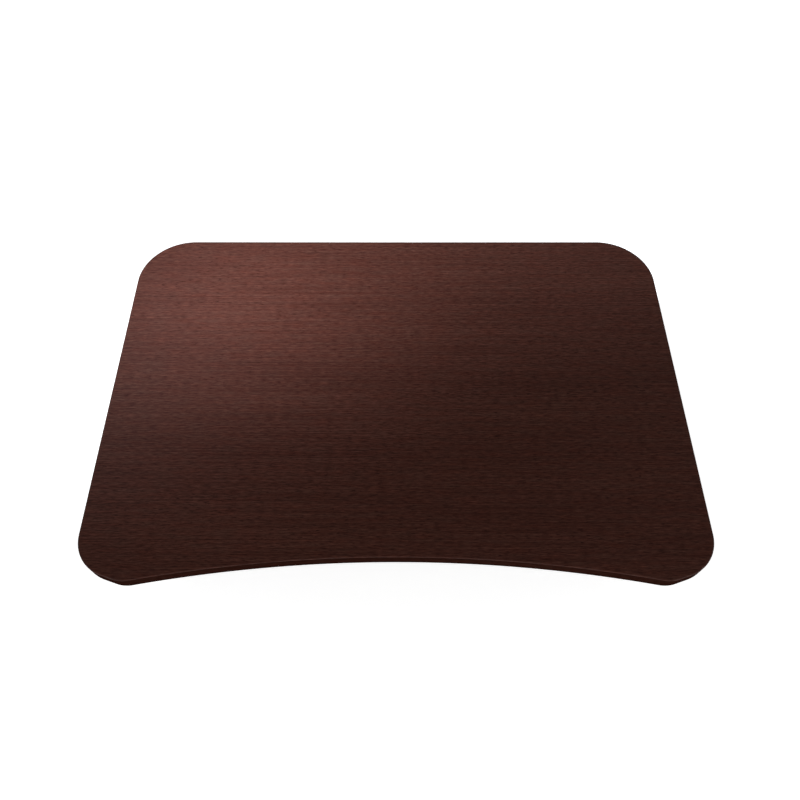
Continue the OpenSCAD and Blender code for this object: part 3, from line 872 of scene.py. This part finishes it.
def feet():
    """Rubber feet with a soft rim, a waist groove and rings on the sole."""
    top = PLATE_Z - 0.01
    profile = [
        (top, 0.4), (top, 13.6), (top - 0.4, 14.0), (3.1, 14.0), (2.8, 13.5), (2.4, 13.5), (2.1, 13.8),
        (0.7, 13.2), (0.2, 12.8), (0.0, 12.2), (0.0, 10.8), (0.5, 10.4), (0.5, 9.4), (0.0, 9.0),
        (0.0, 7.0), (0.5, 6.6), (0.5, 5.6), (0.0, 5.2), (0.0, 3.0), (1.0, 2.4), (1.0, 0.4),
    ]
    for name, side in SIDES:
        solid = Solid(side)
        for y in (BASE_SCREW_Y["front"][0], BASE_SCREW_Y["rear"][0]):
            solid.lathe(2, (FOOT_X, y), profile, count=56)
        solid.piece(f"feet_{name}", "base", ["rubber_feet"], "rubber", angle=30.0)


def brace():
    across = [(x, BRACE_SCREW_Y) for x in BRACE_SCREW_X]
    flat_plate("board_brace", "brace_bar", "desktop", 0.8, 0.4, across)


def screws():
    """All screws, as (x, y, height of the head's face, length)."""
    under, bite, foot_screw = BOARD_Z - FLANGE_T, 9.0, 5.7
    flange = BOARD_Z - CLAMP_FLANGE_T
    top_rail = [(s * RAIL_SCREW_X, y, under, FLANGE_T + bite) for label, s in SIDES for y in RAIL_SCREW_Y]
    across = [(x, BRACE_SCREW_Y, under, FLANGE_T + bite) for x in BRACE_SCREW_X]
    brackets = [(x, BRACKET_SCREW_Y, under, FLANGE_T + bite) for x in BRACKET_X]
    for label, s in SIDES:
        brackets += [(s * CLAMP_SCREW_X, y, flange, CLAMP_FLANGE_T + bite) for y in CLAMP_SCREW_Y]
    rows = [y for row in BASE_SCREW_Y.values() for y in row]
    base = [(s * FOOT_X, y, PLATE_Z, foot_screw) for label, s in SIDES for y in rows]
    sets = (
        ("top_rail_screws", "desktop", top_rail),
        ("brace_screws", "desktop", across),
        ("bracket_screws", "desktop", brackets),
        ("base_screws", "base", base),
    )
    for node, body, places in sets:
        solid = Solid()
        for x, y, z, length in places:
            solid.screw(x, y, z, length)
        solid.piece(f"{node}_turned", body, [node], "zinc", angle=30.0)


# ---------------------------------------------------------------- scissor lift


def arms():
    """Flat bars with rolled edges and a drilled eye at each joint."""
    kinds = (
        ("outer", OUTER_X, LOW_Z, HIGH_Z, AXLE_R),
        ("inner", INNER_X, HIGH_Z, LOW_Z, AXLE_R + BUSH_T),
    )
    for kind, x, rear_z, front_z, middle_r in kinds:
        bores = (
            (REAR_Y, rear_z, AXLE_R + RUNNING_FIT),
            (FRONT_Y, front_z, AXLE_R),
            (MID_Y, MID_Z, middle_r),
        )
        outline = bar_outline(bores[0][:2], bores[1][:2], ARM_HALF)
        for name, side in SIDES:
            solid = Solid(side)
            solid.slab(x, ARM_T, outline, 1.3, bores)
            solid.piece(f"{kind}_arm_{name}_bar", f"{kind}_arms", [f"{kind}_arm_{name}"], "black_steel")


def weld_bead(solid, x, way, y, z, radius, ripples=26, sides=10):
    """A fillet weld around a bar along X, where it meets an arm's face at x."""
    rings = []
    count = ripples * 4
    for k in range(count):
        a = 2 * math.pi * k / count
        swell = 1.0 + 0.10 * math.cos(ripples * a)
        ring = []
        for i in range(sides):
            t = 2 * math.pi * i / sides
            out = radius + 0.2 + 1.15 * swell * math.cos(t)
            ring.append((x - way * (0.9 + 1.0 * math.sin(t)), y + out * math.cos(a), z + out * math.sin(a)))
        rings.append(ring)
    rings.append(rings[0])
    solid.loft(rings, cap_start=False, cap_end=False)


def crossbars():
    """Round bars welded between the arms' inner faces."""
    for kind, reach, z in (("outer", OUTER_X, CROSS_Z), ("inner", INNER_X, LOW_Z + HIGH_Z - CROSS_Z)):
        solid = Solid()
        solid.rod(-reach, reach, CROSS_Y, z, CROSS_R, 0.3)
        for way in (-1, 1):
            weld_bead(solid, way * reach, way, CROSS_Y, z, CROSS_R)
        solid.piece(f"{kind}_crossbar_welded", f"{kind}_arms", [f"{kind}_crossbar"], "black_steel")


def shaft(node, body, y, z, radius, chamfer):
    """A ground shaft along X, as long as its CAD node."""
    end = high(node)[0]
    solid = Solid()
    solid.rod(-end, end, y, z, radius, chamfer)
    solid.piece(f"{node}_ground", body, [node], "zinc")


def axles():
    """The rollers' axles, with a retaining ring near each end."""
    ring_t, ring_depth, end_gap = 0.7, 2.1, 0.1
    for kind, node, z in (("outer", "upper_axle", HIGH_Z), ("inner", "lower_axle", LOW_Z)):
        shaft(node, f"{kind}_arms", FRONT_Y, z, AXLE_R, 0.5)
        outside = high(node)[0] - end_gap
        outline = clip_outline(FRONT_Y, z, AXLE_R, AXLE_R + ring_depth)
        clips = Solid()
        for start in (-outside, outside - ring_t):
            clips.plate(0, outline, soft_edges(start, start + ring_t, 0.12, 1))
        clips.piece(f"{node}_rings", f"{kind}_arms", [f"{node}_clips"], "spring_steel")


def centre_joint():
    """Shaft, nuts, washers and bushes of the middle joint."""
    shaft("centre_shaft", "outer_arms", MID_Y, MID_Z, AXLE_R, 0.6)
    nuts, washers, bushes = Solid(), Solid(), Solid()
    outside = OUTER_X + ARM_T
    ring = sleeve(INNER_X + ARM_T + 0.2, OUTER_X, AXLE_R, 9.0, 0.4)
    start, end, funnel = INNER_X, INNER_X + ARM_T, 0.35
    bush = sleeve(start, end, AXLE_R + 0.4, AXLE_R + BUSH_T, 0.3)
    bush += [(end - funnel, AXLE_R + RUNNING_FIT), (start + funnel, AXLE_R + RUNNING_FIT)]
    for way in (-1, 1):
        nuts.hexagon(way * outside, way * (outside + 5), MID_Y, MID_Z, NUT_CORNER, bore=AXLE_R)
        washers.lathe(0, (MID_Y, MID_Z), [(way * x, r) for x, r in ring])
        bushes.lathe(0, (MID_Y, MID_Z), [(way * x, r) for x, r in bush])
    nuts.piece("centre_nuts_turned", "outer_arms", ["centre_nuts"], "zinc", angle=25.0)
    washers.piece("centre_washers_turned", "outer_arms", ["centre_washers"], "nylon")
    bushes.piece("centre_bushes_turned", "inner_arms", ["centre_bushes"], "bronze")


def pivots():
    """Shoulder bolts with a hexagon head outside the rail, a nut inside the arm and a sleeve between."""
    for level, z, body, arm_x in (("base", LOW_Z, "base", OUTER_X), ("top", HIGH_Z, "desktop", INNER_X)):
        for name, side in SIDES:
            bolt = Solid(side)
            bolt.rod(arm_x - 6, RAIL_END_X + 0.5, REAR_Y, z, AXLE_R, 0.5)
            bolt.hexagon(RAIL_END_X + 0.7, RAIL_END_X + 5, REAR_Y, z, NUT_CORNER)
            collar_r, collar_x = 7.3, RAIL_END_X + 0.8
            collar = [(RAIL_END_X, 4.0), (RAIL_END_X, collar_r), (collar_x, collar_r), (collar_x, 4.0)]
            bolt.lathe(0, (REAR_Y, z), collar)
            bolt.hexagon(arm_x - 0.4, arm_x - 5.4, REAR_Y, z, NUT_CORNER)
            bolt.piece(f"{level}_bolt_{name}", body, [f"{level}_pivot_bolts"], "zinc", angle=25.0)
            start, end = arm_x + ARM_T + 0.3, RAIL_END_X - WEB_T - 0.05
            tube = Solid(side)
            tube.lathe(0, (REAR_Y, z), sleeve(start, end, AXLE_R + 0.1, 8.0, 0.4))
            tube.piece(f"{level}_sleeve_{name}", body, [f"{level}_pivot_spacers"], "zinc")


def rollers():
    """Nylon rollers: a crowned tread, a dished web with six ribs, and a hub."""
    x0, x1 = RAIL_X + 2.5, RAIL_X + 18.5
    bore, hub, rim = AXLE_R + 0.06, 6.1, 7.5
    profile = [
        (x0 - 1, bore + 0.3), (x0 - 1, hub), (x0 + 2.4, hub), (x0 + 2.4, rim), (x0 + 0.2, rim),
        (x0, rim + 0.2), (x0, 8.1), (x0 + 0.5, 8.5), (x0 + 4, 8.66), (x0 + 8, 8.7), (x1 - 4, 8.66),
        (x1 - 0.5, 8.5), (x1, 8.1), (x1, rim + 0.2), (x1 - 0.2, rim), (x1 - 2.4, rim), (x1 - 2.4, hub),
        (x1 + 0.5, hub), (x1 + 0.5, bore + 0.3), (x1 + 0.2, bore), (x0 - 0.7, bore),
    ]
    rib_corners = ((5.9, -0.5), (7.7, -0.5), (7.7, 0.5), (5.9, 0.5))
    for level, z in (("upper", HIGH_Z), ("lower", LOW_Z)):
        centre = np.array([FRONT_Y, z])
        for name, side in SIDES:
            solid = Solid(side)
            solid.lathe(0, (FRONT_Y, z), profile, count=72)
            for a in turns(6):
                out, along = np.array([math.cos(a), math.sin(a)]), np.array([-math.sin(a), math.cos(a)])
                rib = [tuple(centre + out * r + along * w) for r, w in rib_corners]
                solid.plate(0, rib, soft_edges(x0 + 0.5, x0 + 2.6, 0.1, 1))
                solid.plate(0, rib, soft_edges(x1 - 2.6, x1 - 0.5, 0.1, 1))
            node = f"{level}_roller_{name}"
            solid.piece(f"{node}_moulded", node, [node], "nylon")


# ---------------------------------------------------------------- lift springs


def coil_path(x0, x1, y, z, radius, start, turn, per_turn=28):
    """Points of a coil along X, from angle start in the (y, z) plane, through turn radians."""
    count = round(abs(turn) / (2 * math.pi) * per_turn)
    path = []
    for i in range(count + 1):
        s = i / count
        a = start + turn * s
        path.append((x0 + (x1 - x0) * s, y + radius * math.cos(a), z + radius * math.sin(a)))
    return path


def straight(a, b, count=6):
    """Points from a towards b, without b."""
    return [tuple(np.array(a) + (np.array(b) - np.array(a)) * i / count) for i in range(count)]


def lift_springs():
    """Torsion springs: the fixed leg bears on the rear plate, the other one lifts the outer crossbar."""
    leg_end = (CROSS_Y - 10, CROSS_Z - CROSS_R - WIRE_R - 0.4)
    for x in SPRING_X:
        x0, x1 = x - COIL_HALF, x + COIL_HALF
        fixed = straight((x0, REAR_Y - 26, PLATE_TOP + WIRE_R + 0.05), (x0, REAR_Y, LOW_Z - COIL_R))
        coil = coil_path(x0, x1, REAR_Y, LOW_Z, COIL_R, -math.pi / 2, 2 * math.pi * COIL_TURNS)
        moving = straight((x1, leg_end[0], leg_end[1]), (x1, REAR_Y, LOW_Z + COIL_R), 8)
        for name, side in SIDES:
            solid = Solid(side)
            solid.wire(fixed + coil + list(reversed(moving)), WIRE_R)
            label = f"lift_spring_{round(x)}_{name}"
            thing = solid.piece(label, None, ["lift_springs"], "spring_steel", angle=50.0)
            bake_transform(thing)


def spring_supports():
    """Ears, shaft and set collars of the lift springs."""
    ears = (112.0, 212.0)
    ear_t, ear_r = 3.0, 11.0
    corners = [
        (REAR_Y - ear_r, PLATE_TOP), (REAR_Y + ear_r, PLATE_TOP),
        (REAR_Y + ear_r, LOW_Z + ear_r), (REAR_Y - ear_r, LOW_Z + ear_r),
    ]
    outline = rounded(corners, [0.6, 0.6, ear_r - 0.01, ear_r - 0.01], steps=12)
    for name, side in SIDES:
        solid = Solid(side)
        for x in ears:
            solid.slab(x, ear_t, outline, 0.5, ((REAR_Y, LOW_Z, SPRING_SHAFT_R + RUNNING_FIT),))
            start = x - 8 if x == ears[0] else x
            foot = box_outline(start, REAR_Y - 22, start + ear_t + 8, REAR_Y - 8, 2.0)
            solid.plate(2, foot, soft_edges(PLATE_TOP, PLATE_TOP + 2.5, 0.5))
            rivet_x = start + 4 if x == ears[0] else start + 7
            solid.ball_row([(rivet_x, REAR_Y - 15, PLATE_TOP + 2.4)], 2.8, 1.5)
        solid.piece(f"spring_ears_{name}", "base", ["spring_brackets"], "black_steel")
        collar = Solid(side)
        x0, x1 = ears[1] + ear_t + 0.1, ears[1] + ear_t + 5.5
        ring = sleeve(x0, x1, SPRING_SHAFT_R + 0.3, 10.0, 0.5)
        ring += [(x1 - 0.3, SPRING_SHAFT_R), (x0 + 0.3, SPRING_SHAFT_R)]
        collar.lathe(0, (REAR_Y, LOW_Z), ring)
        collar.piece(f"spring_collar_{name}", "base", ["spring_collars"], "zinc")
    shaft("spring_shaft", "base", REAR_Y, LOW_Z, SPRING_SHAFT_R, 0.7)


# ---------------------------------------------------------------- lock and release


def lock_bars():
    (x0, y0, z0), (x1, y1, z1) = low("lock_bar_right"), high("lock_bar_right")
    outline = box_outline(y0, z0, y1, z1, 3.0)
    for name, side in SIDES:
        solid = Solid(side)
        solid.slab(x0, x1 - x0, outline, 0.4, ((FRONT_Y, HIGH_Z, AXLE_R + RUNNING_FIT),))
        solid.piece(f"lock_bar_{name}_ground", "lock_bars", [f"lock_bar_{name}"], "zinc", finish="zinc_bar")


def clamps():
    """Brackets, pins, levers and backing pads that grip the lock bars."""
    lever_x, lever_t = 229.0, 4.0
    plate_x, plate_t = lever_x - 2.2, 2.0
    y, z = CLAMP_Y, CLAMP_Z
    corners = [
        (y - 14, 96), (y - 14, 89), (y - 8, 84), (y - 8, 72),
        (y + 8, 72), (y + 8, 84), (y + 14, 89), (y + 14, 96),
    ]
    bracket = rounded(corners, [0.5, 2, 2, 7.99, 7.99, 2, 2, 0.5])
    corners = [
        (y + 6, 86), (y - 6, 86), (y - 6, 76.4), (11.3, 73.7),
        (11.3, 66.3), (y - 6, 69.2), (y - 6, 56), (y + 6, 56),
    ]
    lever = rounded(corners, [5.99, 5.99, 3, 3.6, 3.6, 3, 5.99, 5.99])
    pad_low, pad_high = low("backing_pads"), high("backing_pads")
    flange_z = BOARD_Z - CLAMP_FLANGE_T
    for name, side in SIDES:
        solid = Solid(side)
        solid.slab(plate_x, plate_t, bracket, 0.35, ((y, z, CLAMP_PIN_R),))
        flange = box_outline(CLAMP_SCREW_X - 7, y - 14, plate_x + plate_t - 0.4, y + 14, 2.0)
        holes = [screw_hole(CLAMP_SCREW_X, v, flange_z, BOARD_Z) for v in CLAMP_SCREW_Y]
        solid.plate(2, flange, soft_edges(flange_z, BOARD_Z, 0.35), holes)
        solid.piece(f"clamp_bracket_{name}", "desktop", ["clamp_brackets"], "black_steel")

        pin = Solid(side)
        x0, x1 = plate_x, lever_x + 6
        neck = x1 - 1.7
        shank = [(x0, 0.3), (x0, CLAMP_PIN_R - 0.4), (x0 + 0.4, CLAMP_PIN_R), (neck, CLAMP_PIN_R)]
        head = [(neck, 5.7), (neck + 0.3, 6.0), (x1 - 0.5, 6.0), (x1, 5.3), (x1, 0.3)]
        pin.lathe(0, (y, z), shank + head)
        pin.piece(f"clamp_pin_{name}", "desktop", ["clamp_pins"], "zinc")

        arm = Solid(side)
        arm.slab(lever_x, lever_t, lever, 0.5, ((y, z, CLAMP_PIN_R + RUNNING_FIT),))
        shoe = box_outline(lever_x + 0.3, 9, 240.5, 21, 1.5)
        arm.plate(2, shoe, soft_edges(68, 73.7, 0.5))
        arm.rod(221, lever_x + 1, y, LINK_Z, PIN_R, 0.4, 32)
        arm.piece(f"clamp_lever_{name}_cut", "clamp_levers", [f"clamp_lever_{name}"], "black_steel")

        block = Solid(side)
        outline = box_outline(pad_high[0] - 6, pad_low[1], pad_high[0], pad_high[1], 1.2)
        block.plate(2, outline, soft_edges(pad_low[2], pad_high[2], 0.4))
        block.piece(f"backing_pad_{name}", "desktop", ["backing_pads"], "nylon")


def linkage():
    """Shaft, cranks and link rods between the paddles and the clamps."""
    shaft("release_shaft", "release", SHAFT_Y, SHAFT_Z, SHAFT_R, 0.5)
    crank_x, crank_t = 216.5, 5.0
    link_x, rod_t = 222.0, 4.0
    for name, side in SIDES:
        crank = Solid(side)
        outline = bar_outline((SHAFT_Y, SHAFT_Z), (SHAFT_Y, LINK_Z), 6.3)
        crank.slab(crank_x, crank_t, outline, 0.6, ((SHAFT_Y, SHAFT_Z, SHAFT_R),))
        crank.rod(crank_x + 1, link_x + 5, SHAFT_Y, LINK_Z, PIN_R, 0.4, 32)
        crank.piece(f"crank_{name}", "release", ["release_cranks"], "black_steel")
        rod = Solid(side)
        eyes = ((SHAFT_Y, LINK_Z), (CLAMP_Y, LINK_Z))
        bores = [(y, z, PIN_R + 0.15) for y, z in eyes]
        rod.slab(link_x, rod_t, bar_outline(eyes[0], eyes[1], 3.8), 0.5, bores, rim=0.2)
        rod.piece(f"link_rod_{name}_cut", "link_rods", [f"link_rod_{name}"], "zinc", finish="zinc_bar")


def shaft_brackets():
    """Bearing ears for the release shaft, each with a screwed foot."""
    y, z = SHAFT_Y, SHAFT_Z
    ear_r, ear_t = 8.0, 6.0
    bottom = BOARD_Z - FLANGE_T
    corners = [(y - ear_r, BOARD_Z), (y - ear_r, z - ear_r), (y + ear_r, z - ear_r), (y + ear_r, BOARD_Z)]
    ear = rounded(corners, [0.6, ear_r - 0.01, ear_r - 0.01, 0.6], steps=12)
    solid = Solid()
    for x in BRACKET_X:
        solid.slab(x - ear_t / 2, ear_t, ear, 0.5, ((y, z, SHAFT_R + RUNNING_FIT),))
        foot = box_outline(x - 9, y + 7, x + 9, y + 26, 2.5)
        countersink = screw_hole(x, BRACKET_SCREW_Y, bottom, BOARD_Z)
        solid.plate(2, foot, soft_edges(bottom, BOARD_Z, 0.4), [countersink])
    solid.piece("bearing_brackets", "desktop", ["shaft_brackets"], "black_steel")


def handles():
    """Moulded paddles: a hub on the shaft, a flat blade with grip ribs under it, and a rolled end."""
    y, z = SHAFT_Y, SHAFT_Z
    x0, x1 = low("release_handle_right")[0], high("release_handle_right")[0]
    tip = high("release_handle_right")[1]
    corners = [
        (y - 7, z - 7), (y + 5.5, z - 7), (y + 10, z - 3), (tip - 14, z - 3), (tip - 11, z - 7), (tip, z - 7),
        (tip, z + 5), (tip - 10, z + 5), (tip - 13, z + 3), (y + 10, z + 3), (y + 5.5, z + 7), (y - 7, z + 7),
    ]
    radii = [6.99, 4, 4, 3, 3, 5.99, 5.99, 3, 3, 4, 4, 6.99]
    outline = rounded(corners, radii, steps=10)
    for name, side in SIDES:
        solid = Solid(side)
        solid.plate(0, outline, soft_edges(x0, x1, 2.2, 5))
        for k in range(6):
            at = tip - 20 - 4.5 * k
            ends = ((x0 + 6, 0.2), (x0 + 6.8, 0.7), (x1 - 6.8, 0.7), (x1 - 6, 0.2))
            solid.loft([[(x, u, v) for u, v in circle(at, z - 3.0, r, 16)] for x, r in ends])
        solid.piece(f"paddle_{name}", "release", [f"release_handle_{name}"], "black_plastic")


def return_springs():
    """Small torsion springs beside the outer ears: one leg bears on the board, one on the paddle."""
    x0, x1, radius, wire = 268.9, 280.1, 5.4, 0.8
    y, z = SHAFT_Y, SHAFT_Z
    coil_turns = 5.75
    fixed = straight((x0, y + radius, BOARD_Z - 0.9), (x0, y + radius, z), 8)
    coil = coil_path(x0, x1, y, z, radius, 0.0, -2 * math.pi * coil_turns)
    moving = [(x1 + step, y, z + radius) for step in (1.2, 6, 12, 18, 21.5)]
    for name, side in SIDES:
        solid = Solid(side)
        solid.wire(fixed + coil[:-1] + [(x1 + 0.1, y + 0.5, z + radius)] + moving, wire, 10)
        thing = solid.piece(f"return_spring_{name}", None, ["return_springs"], "spring_steel", angle=50.0)
        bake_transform(thing)


# ---------------------------------------------------------------- stage

# The floor's own glow, and the sky's grey by the height of a ray's direction, 1 being straight up
FLOOR_GLOW = 0.74
WORLD_STEPS = ((0.50, 1.0), (0.75, 0.15))

# Spots that share one place, in metres: name, point aimed at, cone in degrees, watts and colour
POOL_FROM = (-1.25, 0.35, 1.15)
COOL_WHITE = (1.0, 1.05, 1.12)
WARM_WHITE = (1.0, 0.85, 0.80)
POOL_SPOTS = (
    ("pool_left", (-0.22, 0.142, 0.115), 13.0, 238.0, COOL_WHITE),
    ("pool_rear", (0.05, 0.31, 0.115), 19.0, 180.0, COOL_WHITE),
    ("pool_wide", (-0.335, 0.12, 0.115), 22.0, 71.0, COOL_WHITE),
    ("pool_front", (-0.35, -0.09, 0.115), 9.2, 26.0, WARM_WHITE),
)


def add_object(name, data, location=(0.0, 0.0, 0.0)):
    thing = bpy.data.objects.new(name, data)
    thing.location = location
    bpy.context.scene.collection.objects.link(thing)
    return thing


def aim(thing, target):
    """Points an object's -Z axis at a target."""
    way = np.array(target) - np.array(thing.location)
    tilt = math.acos(-way[2] / float(np.linalg.norm(way)))
    turn = math.atan2(way[1], way[0]) - math.pi / 2
    thing.rotation_euler = (tilt, 0.0, turn)


def make_camera():
    data = bpy.data.cameras.new("camera")
    data.sensor_width = 36.0
    data.lens = CAMERA_LENS
    data.shift_x = CAMERA_SHIFT
    data.clip_start = 0.01
    data.clip_end = 50.0
    thing = add_object("camera", data, CAMERA_AT)
    thing.rotation_euler = (math.pi / 2 - CAMERA_DOWN, 0.0, 0.0)
    bpy.context.scene.camera = thing


def make_floor():
    """A large white floor, bright enough to lose most of its shadow."""
    s = Shader("floor", (0.86, 0.86, 0.86), 0.9, specular=0.0)
    s.bsdf.inputs["Emission Color"].default_value = (1.0, 1.0, 1.0, 1.0)
    s.bsdf.inputs["Emission Strength"].default_value = FLOOR_GLOW
    mesh = bpy.data.meshes.new("floor")
    reach = 12.0
    corners = [(-reach, -reach, 0), (reach, -reach, 0), (reach, reach, 0), (-reach, reach, 0)]
    mesh.from_pydata(corners, [], [(0, 1, 2, 3)])
    mesh.materials.append(s.material)
    add_object("floor", mesh)


def make_world():
    """White all round and dim overhead, so that reflections don't veil the board."""
    world = bpy.data.worlds.new("studio")
    world.use_nodes = True
    bpy.context.scene.world = world
    tree = world.node_tree
    where = tree.nodes.new("ShaderNodeTexCoord")
    split = tree.nodes.new("ShaderNodeSeparateXYZ")
    ramp = tree.nodes.new("ShaderNodeValToRGB")
    tree.links.new(where.outputs["Generated"], split.inputs["Vector"])
    tree.links.new(split.outputs["Z"], ramp.inputs["Fac"])
    tree.links.new(ramp.outputs["Color"], tree.nodes["Background"].inputs["Color"])
    for element, (height, grey) in zip(ramp.color_ramp.elements, WORLD_STEPS):
        element.position = height
        element.color = (grey, grey, grey, 1.0)


def make_lights():
    """Soft spots from one place at the rear left, whose circles overlap in a pool of light on the board."""
    for name, target, cone, power, color in POOL_SPOTS:
        data = bpy.data.lights.new(name, "SPOT")
        data.energy = power
        data.color = color
        data.spot_size = math.radians(cone)
        data.spot_blend = 1.0
        data.shadow_soft_size = 0.12
        aim(add_object(name, data, POOL_FROM), target)


make_camera()
make_floor()
make_world()
make_lights()
bpy.context.scene.view_settings.view_transform = "Standard"

paint_cad_nodes()
board()
rails()
end_caps()
base_plates()
feet()
brace()
screws()
arms()
crossbars()
axles()
centre_joint()
pivots()
rollers()
spring_supports()
lift_springs()
lock_bars()
clamps()
linkage()
shaft_brackets()
handles()
return_springs()
